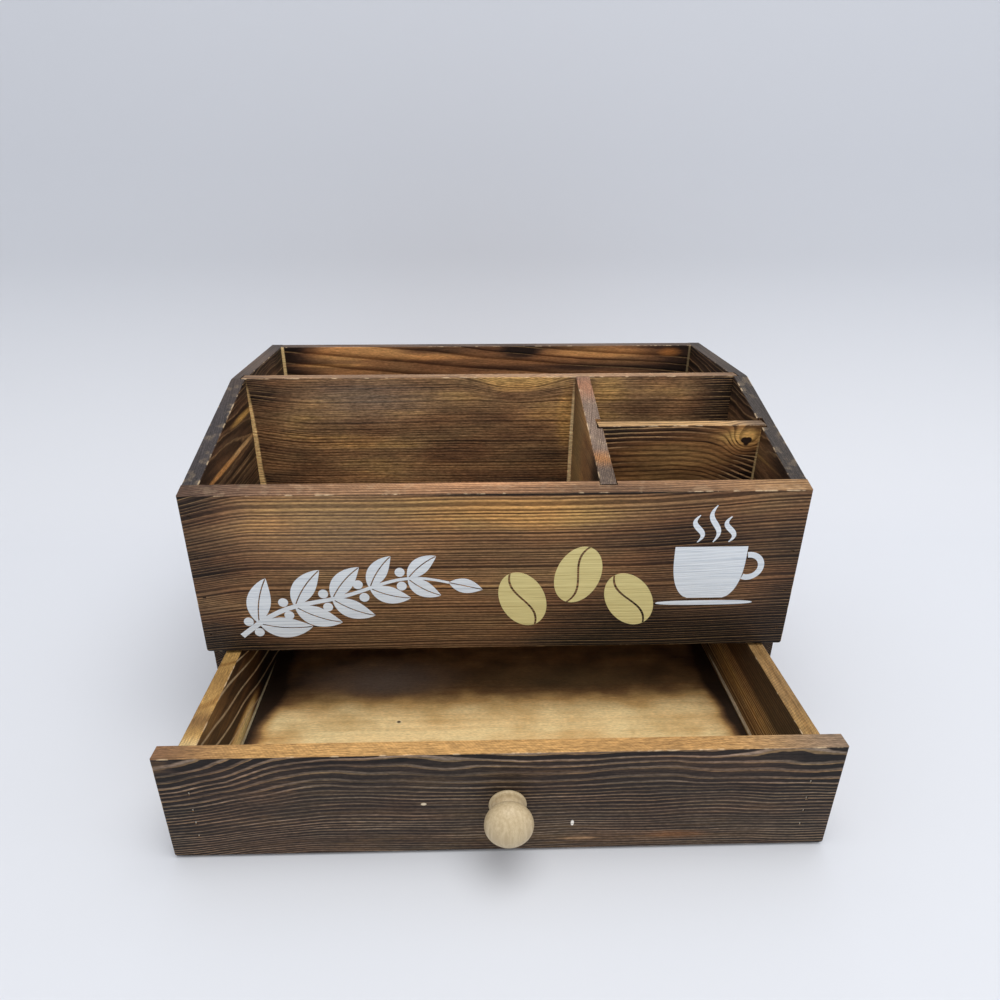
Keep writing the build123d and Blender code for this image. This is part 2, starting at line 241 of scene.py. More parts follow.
# Pine boards, scorched with a flame, brushed along the grain and oiled: the fire eats the soft
# earlywood, so the hard latewood lines stand proud, and corners that the flame missed stay pale.
# Places and sizes are in mm from the board's middle, along the grain and across
pine = {
    "turn": alongX,
    "seed": 1,
    "pith": (43, 71),  # through and across the board from its middle
    "lean": (0.0, 0.0),  # how far the pith moves through and across for each mm along
    "ringWidth": 1.35,
    "uneven": 2.2,  # rings that a spell of wide or narrow years shifts the count by
    "spells": 0.23,  # changes from wide years to narrow ones in each ring
    "waves": [(170, 60, 9.0), (42, 22, 1.4), (9, 3, 0.35)],  # length, width and height of the rings' bends
    "bendDetail": 1.0,  # of the bends and the spells
    "knots": [],
    "line": (0.3, 0.48, 0.8, 0.92),  # shares of a ring: the dark wood starts, is full, fades and ends
    "lineTint": (0.12, 0.09, 0.07),  # what the line leaves of the ground's red, green and blue
    "paleLine": None,  # the line's colour on boards burnt so far that it is lighter than the ground
    "fade": (90, 7),
    "faintest": 0.6,  # how far a line fades along its length
    "weakest": 0.35,  # how faint the latewood of a poor year is
    "crest": 0.5,  # how clearly the brushed crest of a line shows where the ground is charred
    "crestEnd": 0.97,
    "crestColour": "b8956a",
    "charred": (0.55, 0.85),  # scorch at which the crest starts to show, and shows in full
    "warmth": (50, 15),
    "redder": (1.07, 0.98, 0.93),  # the ground's colour wanders between these two tints
    "greener": (0.97, 1.0, 0.99),
    "burnt": [(0.0, "d6a868"), (0.35, "a17d57"), (0.6, "795a40"), (0.8, "4b382b"), (1.0, "281d17")],
    "scorch": 0.53,
    "slope": (0.0, 0.0),  # how much darker the far end and the upper edge are than the middle: burnt, and on the drawer's left side painted shade
    "patch": (110, 24, 0.35),  # length and width of the flame's patches, and how strong they are
    "streaks": (60, 2.2, 0.14),  # the same for streaks along the grain
    "band": (11, 0.34),  # width of a band of rings that burnt alike, and how unlike the bands are
    "bandDetail": 3.0,
    "endScorch": (45, 0.2),  # reach in mm and strength
    "rimScorch": (8, 0.15),
    "burnsAndShade": [],
    "marks": [],
    "marked": (0.0, -1.0, 0.0),  # the way that the face with the marks looks
    "upward": (0.55, 0.8),  # how far up a normal points where the top edge's colour starts, and is full
    "topMarks": [],  # place and reach along the top edge, colour and amount
    "topGround": "a37c5c",
    "topTint": (0.42, 0.37, 0.35),
    "topSoot": 0.6,  # what soot leaves of the top edge's colour beside charred wood
    "topBare": 1.1,  # the same beside wood that the flame missed
    "sootStart": 0.3,
    "saw": 0.08,  # depth of the slanting saw marks on the top edges
    "sawStroke": (3.4, 2.6, 0.0),  # radians for each mm along and through: a stroke every 1.5 mm
    "sawn": (30, 12),
    "fibre": (8, 0.5, 0.24),  # length, width and strength, as for the flecks and painted glints
    # Flecks and glints: short specks along the grain that lighten and darken the colour, partly the wood's
    # own texture and partly painted glints of the oiled latewood
    "flecksAndGlints": (2.6, 0.8, 0.16),
    "relief": 0.09,
    "fibreRelief": 0.07,
    "rough": (0.48, 0.72),
    "gloss": {"IOR": 1.45, "Specular IOR Level": 0.25},
    "wear": "dcc09a",
    "wearShare": 0.6,
    "rubbed": (7, 7),
    "arris": (0.97, 0.9),  # the largest part of the normal where an eased edge starts, and is full
}


def howBurntAndShaded(tree, point, half, wood, band):
    # From 0 for bare wood to 1 for char: the board's own share, plus patches, bands of rings,
    # streaks, a slope, burnt ends and rims, and the separate burns. On the drawer's floor and left side,
    # part of the burns and of the slope is painted shade, darker where the drawer runs under the case
    strength, bandStrength = wood["patch"][2], wood["band"][1]
    middle = wood["scorch"] - bandStrength / 2
    patches = (middle - strength / 2, middle + strength / 2)
    scorch = grainField(tree, point, wood, "patch", patches, clamp=False)
    strength = wood["streaks"][2]
    streaks = grainField(tree, point, wood, "streaks", (-strength / 2, strength / 2), clamp=False)
    farEndBurnAndShade, upperSlope = wood["slope"]
    slope = addNode(tree, "VectorMath", "DOT_PRODUCT", {
        0: point, 1: (farEndBurnAndShade / half[0], 0.0, upperSlope / half[2]),
    })
    terms = [(band, bandStrength), (streaks, 1.0), (slope.outputs["Value"], 1.0)]
    fromMiddle = addNode(tree, "VectorMath", "ABSOLUTE", {0: point})
    fromMiddle = addNode(tree, "SeparateXYZ", feeds={0: fromMiddle})
    for axis, size, edge in (("X", half[0], "endScorch"), ("Z", half[2], "rimScorch")):
        reach, amount = wood[edge]
        nearEdge = addNode(tree, "MapRange", smooth, {
            "Value": fromMiddle.outputs[axis], "From Min": size - reach, "From Max": size,
        })
        terms.append((nearEdge, amount))
    for burn in wood["burnsAndShade"]:
        shape = spot(tree, point, burn["at"], burn["size"], burn.get("hard", 0.0))
        terms.append((shape, burn["scorch"]))
    for term, weight in terms:
        scorch = addNode(tree, "Math", "MULTIPLY_ADD", {0: term, 1: weight, 2: scorch})
    return addNode(tree, "Clamp", feeds={"Value": scorch})


def sawnTop(tree, point, wood, line, scorch):
    # The sawn top edge: its own ground and marks, the rings' lines across it, the saw's slanting
    # strokes in patches, and soot where the board is burnt
    layers = []
    for at, reach, tone, amount in wood["topMarks"]:
        shape = spot(tree, point, (at, 0.0), (reach, anyWidth))
        layers.append((addNode(tree, "Math", "MULTIPLY", {0: shape, 1: amount}), tone))
    stroke = addNode(tree, "VectorMath", "DOT_PRODUCT", {0: point, 1: wood["sawStroke"]})
    stroke = addNode(tree, "Math", "SINE", {0: stroke.outputs["Value"]})
    sawn = grainField(tree, point, wood, "sawn", (0.0, wood["saw"]))
    strokes = addNode(tree, "Math", "MULTIPLY_ADD", {0: stroke, 1: sawn, 2: 1.0})
    soot = addNode(tree, "MapRange", feeds={
        "Value": scorch,
        "From Min": wood["sootStart"],
        "To Min": wood["topBare"],
        "To Max": wood["topSoot"],
    })
    layers += [(line, (*wood["topTint"], 1.0), multiply), (1.0, strokes, multiply), (1.0, soot, multiply)]
    return layColours(tree, wood["topGround"], layers)


def rubbedArris(tree, point, wood, normal):
    # Eased edges are where no part of the normal is near 1. They are rubbed in patches
    parts = addNode(tree, "VectorMath", "ABSOLUTE", {0: normal})
    parts = addNode(tree, "SeparateXYZ", feeds={0: parts})
    largest = addNode(tree, "Math", "MAXIMUM", {0: parts.outputs["X"], 1: parts.outputs["Y"]})
    largest = addNode(tree, "Math", "MAXIMUM", {0: largest, 1: parts.outputs["Z"]})
    start, full = wood["arris"]
    arris = addNode(tree, "MapRange", feeds={"Value": largest, "From Min": start, "From Max": full})
    rubbed = grainField(tree, point, wood, "rubbed", (0.0, wood["wearShare"]))
    return addNode(tree, "Math", "MULTIPLY", {0: rubbed, 1: arris})


def scorchedPine(name, wood):
    # The ground's colour follows how far the flame went, and painted shade where a drawer part lies under
    # the case; the rings' lines darken it, then come the crests, the warmth, the marks, the sawn top
    # edges, the rubbed arrises, the fibre, and flecks that are partly painted glints
    material, tree = newMaterial(name)
    point, coordinates, half = grainPoint(tree, wood["node"], wood["turn"])
    normal = coordinates.outputs["Normal"]
    line, band, crest = growthRings(tree, point, wood)
    scorch = howBurntAndShaded(tree, point, half, wood, band)
    ground = addNode(tree, "ValToRGB", feeds={"Fac": scorch})
    stops = ground.color_ramp.elements
    for index, (position, tone) in enumerate(wood["burnt"]):
        stop = stops[index] if index < 2 else stops.new(position)
        stop.position = position
        stop.color = linearColour(tone)
    if wood["paleLine"]:
        layers = [(line, wood["paleLine"])]
    else:
        layers = [(line, (*wood["lineTint"], 1.0), multiply)]
    start, full = wood["charred"]
    charred = addNode(tree, "MapRange", feeds={
        "Value": scorch, "From Min": start, "From Max": full, "To Max": wood["crest"],
    })
    layers.append((addNode(tree, "Math", "MULTIPLY", {0: crest, 1: charred}), wood["crestColour"]))
    warmth = addNode(tree, "MixRGB", feeds={
        "Fac": grainField(tree, point, wood, "warmth", (0.0, 1.0)),
        "Color1": (*wood["redder"], 1.0),
        "Color2": (*wood["greener"], 1.0),
    })
    layers.append((1.0, warmth, multiply))
    facing = addNode(tree, "VectorMath", "DOT_PRODUCT", {0: normal, 1: wood["marked"]}).outputs["Value"]
    for mark in wood["marks"]:
        shape = spot(tree, point, mark["at"], mark["size"], mark.get("hard", 0.0))
        shape = addNode(tree, "Math", "MULTIPLY", {0: shape, 1: mark.get("amount", 1.0)})
        shape = addNode(tree, "Math", {"operation": "MULTIPLY", "use_clamp": True}, {0: shape, 1: facing})
        layers.append((shape, mark["colour"]))
    start, full = wood["upward"]
    upward = addNode(tree, "SeparateXYZ", feeds={0: normal}).outputs["Z"]
    upward = addNode(tree, "MapRange", feeds={"Value": upward, "From Min": start, "From Max": full})
    layers.append((upward, sawnTop(tree, point, wood, line, scorch)))
    layers.append((rubbedArris(tree, point, wood, normal), wood["wear"]))
    # The fibre, then the flecks, which are partly painted glints
    for texture in ("fibre", "flecksAndGlints"):
        strength = wood[texture][2]
        shade = grainField(tree, point, wood, texture, (1 - strength, 1 + strength), clamp=False)
        layers.append((1.0, shade, multiply))
    fibre = grainField(tree, point, wood, "fibre")
    height = addNode(tree, "Math", "MULTIPLY", {0: line, 1: wood["relief"]})
    height = addNode(tree, "Math", "MULTIPLY_ADD", {0: fibre, 1: wood["fibreRelief"], 2: height})
    finishMaterial(tree, layColours(tree, ground, layers), fibre, height, wood)
    return material


def dress(node, material):
    # The material goes into every slot of a CAD node
    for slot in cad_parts[node].material_slots:
        slot.material = material


# What sets each board apart. The sizes of knots, burns and painted shade, and marks are half lengths and
# half widths
boards = {
    "front_panel": {
        "seed": 3,
        "pith": (34, 78),
        "ringWidth": 1.6,
        "line": (0.2, 0.42, 0.82, 0.92),
        "waves": [(260, 80, 5.0), (60, 30, 0.9), (12, 3, 0.15)],
        "knots": [
            {"at": (-196, 25), "size": (62, 120), "push": -8},
            {"at": (190, 20), "size": (120, 150), "push": 4},
        ],
        "weakest": 0.7,
        "faintest": 0.85,
        "scorch": 0.4,
        "slope": (0.04, -0.14),
        "burnsAndShade": [
            {"at": (22, 38), "size": (115, 17), "scorch": -0.4},
            {"at": (30, 49.8), "size": (135, 2.6), "scorch": 0.8, "hard": 0.2},
            {"at": (104, 22), "size": (84, 44), "scorch": 0.45},
            {"at": (-172, 40), "size": (50, 60), "scorch": 0.35},
            {"at": (105, -44), "size": (130, 34), "scorch": 0.65},
            {"at": (-165, -48), "size": (60, 24), "scorch": 0.35},
            {"at": (178, 5), "size": (30, 70), "scorch": 0.2},
        ],
        "marks": [{"at": (-95, 30), "size": (80, 40), "colour": "8f7a68", "amount": 0.25}],
        "topGround": "a67e5a",
        "topTint": (0.36, 0.3, 0.27),
        "topMarks": [
            (-178, 125, "675044", 0.85),
            (-8, 66, "d29c70", 0.85),
            (66, 34, "8a674c", 0.5),
            (172, 60, "bd9462", 0.6),
        ],
    },
    "drawer_front": {
        "seed": 8,
        "pith": (66, 45),
        "ringWidth": 1.3,
        "uneven": 1.1,
        "waves": [(150, 50, 5.0), (46, 26, 2.6), (9, 3, 0.25)],
        "knots": [
            {"at": (-195, 0), "size": (115, 150), "push": -8},
            {"at": (200, 0), "size": (170, 150), "push": -1.8},
        ],
        "line": (0.58, 0.7, 0.8, 0.9),
        "paleLine": "9a8573",
        "faintest": 0.35,
        "streaks": (34, 1.0, 0.3),
        "flecksAndGlints": (2.6, 0.8, 0.22),
        "burnt": [(0.0, "8a6c4a"), (0.5, "58442f"), (0.75, "352a24"), (1.0, "1e1816")],
        "scorch": 0.8,
        "patch": (80, 30, 0.2),
        "burnsAndShade": [
            {"at": (0, -36), "size": (240, 22), "scorch": -0.34},
            {"at": (-172, 30), "size": (14, 9), "scorch": -0.6},
        ],
        "marks": [
            {"at": (92, -25), "size": (24, 4), "colour": "8a5a34", "amount": 0.6},
            {"at": (41, -26.5), "size": (15, 1.4), "colour": "b28c66", "hard": 0.3, "amount": 0.7},
            {"at": (-41, 0.5), "size": (1.7, 1.0), "colour": "d8c8ac", "hard": 0.7},
            {"at": (37, -15), "size": (1.0, 2.3), "colour": "efe9df", "hard": 0.7},
        ],
        "topGround": "c89b60",
        "topTint": (0.6, 0.5, 0.4),
        "topMarks": [
            (-178, 62, "6e4e3c", 0.85),
            (178, 78, "786a60", 0.8),
            (85, 80, "a0774a", 0.4),
        ],
        "topSoot": 0.9,
    },
    "long_partition": {
        "seed": 12,
        "pith": (40, 150),
        "ringWidth": 1.85,
        "uneven": 1.8,
        "line": (0.2, 0.42, 0.74, 0.86),
        "crest": 0.8,
        "waves": [(200, 60, 6.0), (42, 22, 1.0), (9, 3, 0.3)],
        "knots": [
            {"at": (18, 74), "size": (46, 34), "push": -15},
            {"at": (-190, 30), "size": (70, 60), "push": 8},
        ],
        "lineTint": (0.16, 0.13, 0.12),
        "weakest": 0.4,
        "scorch": 0.36,
        "fibre": (8, 0.5, 0.34),
        "flecksAndGlints": (2.6, 0.8, 0.26),
        "patch": (70, 20, 0.5),
        "burnsAndShade": [
            {"at": (-158, 58), "size": (44, 30), "scorch": 0.28},
            {"at": (-80, 30), "size": (70, 12), "scorch": 0.2},
            {"at": (28, -12), "size": (64, 46), "scorch": 0.45},
            {"at": (-25, 20), "size": (46, 30), "scorch": 0.2},
            {"at": (20, 66), "size": (40, 15), "scorch": -0.8, "hard": 0.2},
            {"at": (52, 35), "size": (9, 46), "scorch": -0.4},
            {"at": (80, 55), "size": (24, 26), "scorch": -0.4},
            {"at": (110, 44), "size": (60, 12), "scorch": 0.25},
            {"at": (162, 48), "size": (34, 50), "scorch": 0.5},
        ],
        "marks": [
            {"at": (-85, 50), "size": (70, 24), "colour": "958576", "amount": 0.4},
            {"at": (-165.8, 0), "size": (4.0, 66), "colour": "ffd694", "hard": 0.75},
            {"at": (-165.8, -30), "size": (5.8, 44), "colour": "ffd694", "hard": 0.7},
            {"at": (56.6, 0), "size": (1.9, 68), "colour": "ffe0aa", "hard": 0.6},
        ],
        "topGround": "a98563",
        "topTint": (0.42, 0.36, 0.32),
        "topMarks": [(-90, 52, "836650", 0.6)],
    },
    "back_panel": {
        "seed": 15,
        "pith": (12, 130),
        "lean": (0.0, 0.085),
        "ringWidth": 7.0,
        "waves": [(120, 30, 6.0), (40, 12, 1.2), (9, 3, 0.3)],
        "line": (0.45, 0.78, 0.86, 0.95),
        "lineTint": (0.2, 0.14, 0.1),
        "weakest": 0.7,
        "faintest": 0.8,
        "burnt": [(0.0, "d69c62"), (0.35, "a2744c"), (0.6, "79563b"), (0.8, "4b3528"), (1.0, "281b15")],
        "scorch": 0.46,
        "endScorch": (48, 0.5),
        "burnsAndShade": [
            {"at": (-108, 97), "size": (56, 8), "scorch": -0.8, "hard": 0.3},
            {"at": (-50, 93), "size": (60, 4), "scorch": -0.6},
            {"at": (-130, 86.5), "size": (46, 2), "scorch": -0.6, "hard": 0.2},
            {"at": (90, 96), "size": (60, 6), "scorch": -0.6, "hard": 0.2},
            {"at": (28, 97), "size": (24, 8), "scorch": 0.7},
            {"at": (60, 84), "size": (110, 5), "scorch": 0.35},
        ],
        "marks": [
            {"at": (-165, 60), "size": (2.4, 90), "colour": "ffdc9e", "hard": 0.7},
            {"at": (164.8, 60), "size": (1.5, 90), "colour": "cdb488", "hard": 0.5, "amount": 0.4},
            {"at": (148, 96), "size": (13, 5), "colour": "b9763d", "amount": 0.9},
        ],
        "topGround": "6e5a4c",
    },
    "left_side": {
        "seed": 18,
        "turn": alongY,
        "pith": (60, 70),
        "scorch": 0.78,
        "patch": (90, 26, 0.3),
        "marked": (1.0, 0.0, 0.0),
        "marks": [
            {"at": (-18, 80.5), "size": (34, 3.2), "colour": "cfa05a", "hard": 0.2, "amount": 0.95},
            {"at": (-62, 62.0), "size": (46, 2.5), "colour": "c88f55", "hard": 0.5, "amount": 0.95},
            {"at": (-28, 62.5), "size": (36, 2.4), "colour": "d8ae78", "hard": 0.3, "amount": 0.95},
            {"at": (-34, 51), "size": (34, 1.2), "colour": "9a7c58", "hard": 0.2, "amount": 0.7},
            {"at": (-25, 47), "size": (30, 0.9), "colour": "8a6e4e", "hard": 0.2, "amount": 0.7},
            {"at": (-20, 43), "size": (26, 0.8), "colour": "8a6e4e", "hard": 0.2, "amount": 0.6},
        ],
        "topGround": "4b4443",
        "topTint": (0.55, 0.55, 0.55),
        "topMarks": [(50, 95, "7c6757", 0.85)],
    },
    "right_side": {
        "seed": 22,
        "turn": alongY,
        "pith": (60, 70),
        "scorch": 0.76,
        "patch": (90, 26, 0.3),
        "marked": (-1.0, 0.0, 0.0),
        "marks": [{"at": (-60, 66), "size": (44, 1.6), "colour": "a98450", "amount": 0.8}],
        "topGround": "504843",
        "topTint": (0.55, 0.55, 0.55),
        "topMarks": [(60, 80, "746355", 0.7)],
    },
    "lengthwise_divider": {
        "seed": 27,
        "turn": alongY,
        "pith": (50, 80),
        "ringWidth": 0.9,
        "lineTint": (0.45, 0.4, 0.34),
        "scorch": 0.38,
        "burnsAndShade": [{"at": (-45, 30), "size": (30, 40), "scorch": 0.5}],
        "marked": (-1.0, 0.0, 0.0),
        "marks": [
            {"at": (34, 0), "size": (40, 90), "colour": "a08a5e", "amount": 0.6},
            {"at": (-40, -20), "size": (34, 60), "colour": "33261c", "amount": 0.7},
        ],
        "topGround": "806c5d",
        "saw": 0.2,
        "topMarks": [
            (-33, 11, "bd8147", 0.75),
            (44, 24, "b07c5c", 0.9),
        ],
    },
    "cross_divider": {
        "seed": 31,
        "pith": (-30, 90),
        "ringWidth": 2.9,
        "uneven": 1.2,
        "waves": [(90, 40, 6.0), (30, 18, 2.6), (9, 3, 0.4)],
        "knots": [
            {"at": (60, 20), "size": (50, 70), "push": -14},
            {"at": (40, 47), "size": (15, 13), "push": -8},
        ],
        "line": (0.16, 0.46, 0.66, 0.76),
        "crest": 0.85,
        "lineTint": (0.1, 0.07, 0.05),
        "weakest": 0.6,
        "burnt": [(0.0, "d8ac66"), (0.35, "a2784a"), (0.6, "765333"), (0.8, "493222"), (1.0, "241812")],
        "crestColour": "cda678",
        "scorch": 0.46,
        "streaks": (30, 1.6, 0.25),
        "burnsAndShade": [
            {"at": (40, 50), "size": (26, 13), "scorch": -0.8},
            {"at": (46, 24), "size": (26, 20), "scorch": 0.4},
            {"at": (-48, 42), "size": (16, 20), "scorch": 0.15},
            {"at": (-20, 52), "size": (50, 8), "scorch": 0.25},
        ],
        "marks": [
            {"at": (39.7, 47.2), "size": (2.5, 2.2), "colour": "2a1b12", "hard": 0.7},
            {"at": (42.3, 47.2), "size": (2.5, 2.2), "colour": "2a1b12", "hard": 0.7},
            {"at": (41, 45.5), "size": (2.3, 3.0), "colour": "2a1b12", "hard": 0.5},
            {"at": (48.9, 0), "size": (1.5, 60), "colour": "e0c08a", "hard": 0.4, "amount": 0.9},
        ],
        "topGround": "deb27a",
        "topTint": (0.3, 0.24, 0.2),
        "topMarks": [(50, 34, "5f5148", 0.85)],
    },
    "drawer_left_side": {
        "seed": 36,
        "turn": alongY,
        "pith": (4, 70),
        "lean": (0.0, 0.24),
        "ringWidth": 9.5,
        "uneven": 1.4,
        "waves": [(80, 60, 12.0), (30, 24, 2.0)],
        "line": (0.4, 0.47, 0.52, 0.6),
        "paleLine": "c4b294",
        "crest": 0.0,
        "faintest": 0.75,
        "weakest": 0.6,
        "burnt": [(0.0, "d8c18a"), (0.35, "a58753"), (0.6, "6d5031"), (0.8, "3f2c1c"), (1.0, "1e1510")],
        "scorch": 0.9,
        # Painted shade: the far end is darker because the drawer's back runs under the case, where the
        # light does not reach
        "slope": (0.3, 0.0),
        "burnsAndShade": [
            {"at": (-52, -10), "size": (58, 9), "scorch": -0.85, "hard": 0.3},
            {"at": (-90, 30), "size": (40, 14), "scorch": -0.3},
            {"at": (30, -14), "size": (60, 36), "scorch": 0.4},
        ],
        "marked": (1.0, 0.0, 0.0),
        "marks": [{"at": (-30, -18.6), "size": (72, 2.6), "colour": "ecdcb4", "hard": 0.5}],
        "topGround": "c99e5c",
        "topTint": (0.55, 0.46, 0.38),
        "topMarks": [
            (-52, 26, "96703f", 0.6),
            (-86, 14, "6e4c2e", 0.75),
            (-106, 11, "dcbd86", 0.9),
        ],
        "saw": 0.2,
    },
    "drawer_right_side": {
        "seed": 41,
        "turn": alongY,
        "pith": (10, 60),
        "ringWidth": 2.1,
        "waves": [(200, 60, 3.0), (60, 30, 0.6)],
        "line": (0.4, 0.56, 0.68, 0.84),
        "paleLine": "cdae7c",
        "crest": 0.0,
        "weakest": 0.6,
        "burnt": [(0.0, "c8a468"), (0.35, "98733f"), (0.6, "64462a"), (0.8, "3d2a1b"), (1.0, "1e1510")],
        "scorch": 0.64,
        "slope": (0.0, 0.12),
        "burnsAndShade": [{"at": (-20, -5), "size": (70, 14), "scorch": -0.12, "hard": 0.3}],
        "marked": (-1.0, 0.0, 0.0),
        "marks": [
            {"at": (0, 26), "size": (500, 17), "colour": "3d2b1d", "hard": 0.8, "amount": 0.85},
            {"at": (-25, -16.6), "size": (66, 2.4), "colour": "ecdcc0", "hard": 0.6},
        ],
        "topGround": "b08a58",
        "topTint": (0.75, 0.7, 0.65),
        "topMarks": [(-100, 30, "c59a5c", 0.8)],
        "saw": 0.2,
    },
    "drawer_back": {"seed": 45, "topGround": "a5814f"},
}
for node, changes in boards.items():
    wood = {**pine, **changes, "node": node}
    dress(node, scorchedPine("scorchedPine." + node, wood))
print("boards dressed:", len(boards))

# Thin plywood with rotary-cut faces, so its figure is broad and faint. The flame passed over it
# quickly and left it golden, with dark ends
plywood = {
    "turn": layFlat,
    "pith": (60, -160),
    "ringWidth": 5.0,
    "waves": [(110, 34, 7.0), (30, 9, 1.2)],
    "line": (0.1, 0.55, 0.75, 0.94),
    "lineTint": (0.88, 0.83, 0.78),
    "faintest": 0.1,
    "patch": (30, 20, 0.34),
    "streaks": (26, 1.2, 0.04),
    "redder": (1.03, 0.99, 0.95),
    "greener": (0.99, 1.0, 0.99),
    "band": (9, 0.06),
    "endScorch": (20, 0.7),
    "rimScorch": (6, 0.2),
    "burnt": [(0.0, "f6d9a0"), (0.3, "d4ac70"), (0.55, "8f6d48"), (0.8, "5a432f"), (1.0, "33261d")],
    "marked": (0.0, 0.0, 1.0),
    "upward": (2.0, 2.25),  # never: a sheet has no sawn top edge
    "relief": 0.02,
    "fibre": (8, 0.5, 0.09),
    "flecksAndGlints": (2.6, 0.8, 0.1),
    "crest": 0.0,
}
sheets = {
    "drawer_floor": {
        "seed": 51,
        "scorch": 0.1,
        "burnsAndShade": [
            # Painted shade: the back of the drawer floor lies under the case's front panel, and this dark
            # patch stands in for that shadow
            {"at": (0, 60), "size": (900, 80), "scorch": 0.55, "hard": 0.62},
            {"at": (-162, 0), "size": (24, 80), "scorch": 0.45, "hard": 0.3},
            {"at": (-150, 2), "size": (36, 30), "scorch": 0.3},
            {"at": (163, 0), "size": (23, 80), "scorch": 0.6, "hard": 0.45},
            {"at": (-60, -36), "size": (90, 12), "scorch": -0.25},
        ],
        "marks": [
            {"at": (-78, 20), "size": (74, 27), "colour": "a5968a", "amount": 0.75},
            {"at": (50, 18), "size": (120, 22), "colour": "86704e", "amount": 0.6},
            {"at": (-62, -25), "size": (3.2, 2.4), "colour": "f2dcae", "hard": 0.3, "amount": 0.6},
            {"at": (-62, -25), "size": (1.7, 1.4), "colour": "4a3828", "hard": 0.4},
        ],
    },
    "tray_floor": {"seed": 55, "scorch": 0.5},
    "base_panel": {"seed": 59, "scorch": 0.2},
}
for node, changes in sheets.items():
    wood = {**pine, **plywood, **changes, "node": node}
    dress(node, scorchedPine("scorchedPlywood." + node, wood))
print("plywood dressed:", len(sheets))

# The turned knob, as its own smooth surface in the place of the CAD knob. Sizes in mm, from the
# drawer's face outwards
knob = {
    "beadRadius": 1.1,  # half-round bead at the base
    "baseRadius": 9.9,
    "shoulder": (9.4, 2.7),  # radius and distance out where the cove leaves the base
    "neck": (6.2, 5.6),  # the same where the cove meets the ball
    "ballRadius": 12.6,
    "ballOut": 13.8,
    "roundRadius": 7.0,  # of the arc round the widest part
    "ballHalf": 9.6,
    "points": {"crown": 22, "round": 14, "under": 24, "cove": 14, "bead": 14},  # along each arc
    "segments": 112,
    "seed": 70,
    "ground": "cfbb96",
    "lines": (60, 1.1),  # length and width, as for the rays and the handling
    "lineColour": "bea883",
    "rays": (2.4, 0.3),
    "rayColour": "a78d68",
    "rayShare": 0.5,
    "rayDepth": 0.05,
    "handling": (14, 14),
    "rough": (0.36, 0.56),
    "gloss": {"IOR": 1.48},
}


def newPiece(name, points, faces, material):
    # An object of its own, its mesh from corner places in metres and faces of corner numbers
    mesh = bpy.data.meshes.new(name)
    mesh.from_pydata(points.tolist(), [], faces)
    mesh.materials.append(material)
    piece = bpy.data.objects.new(name, mesh)
    bpy.context.scene.collection.objects.link(piece)
    return piece


def turnedArc(centre, radius, start, end, count):
    # radius and distance out: centre plus the radius times cosine and sine of the angle
    angle = np.linspace(start, end, count)
    return np.stack([centre[0] + radius * np.cos(angle), centre[1] + radius * np.sin(angle)], 1)


def knobProfile():
    # Tangent arcs from the crown's middle down to the base: crown, widest part, underside, cove, bead
    points = knob["points"]
    ballRadius, ballOut, ballHalf = knob["ballRadius"], knob["ballOut"], knob["ballHalf"]
    roundRadius = knob["roundRadius"]
    roundCentre = (ballRadius - roundRadius, ballOut)
    rise = ballHalf - roundRadius
    crownRadius = (roundCentre[0] ** 2 + ballHalf ** 2 - roundRadius ** 2) / (2 * rise)
    crownOut = ballOut + ballHalf - crownRadius
    meet = math.atan2(ballOut - crownOut, roundCentre[0])
    neckRadius, neckOut = knob["neck"]
    drop = ballOut - neckOut
    underCentre = (ballRadius ** 2 - neckRadius ** 2 - drop ** 2) / (2 * (ballRadius - neckRadius))
    underAngle = math.atan2(-drop, neckRadius - underCentre)
    shoulderRadius, shoulderOut = knob["shoulder"]
    inward, outward = shoulderRadius - neckRadius, neckOut - shoulderOut
    coveRadius = (inward ** 2 + outward ** 2) / (2 * outward)
    coveCentre = (shoulderRadius, shoulderOut + coveRadius)
    coveAngle = math.atan2(neckOut - coveCentre[1], -inward) + 2 * math.pi
    bead = knob["beadRadius"]
    return np.concatenate([
        turnedArc((0.0, crownOut), crownRadius, math.pi / 2, meet, points["crown"])[1:],
        turnedArc(roundCentre, roundRadius, meet, 0.0, points["round"])[1:],
        turnedArc((underCentre, ballOut), ballRadius - underCentre, 0.0, underAngle, points["under"])[1:],
        turnedArc(coveCentre, coveRadius, coveAngle, 3 * math.pi / 2, points["cove"])[1:],
        turnedArc((knob["baseRadius"] - bead, bead), bead, math.pi / 2, -math.pi / 2, points["bead"]),
    ])


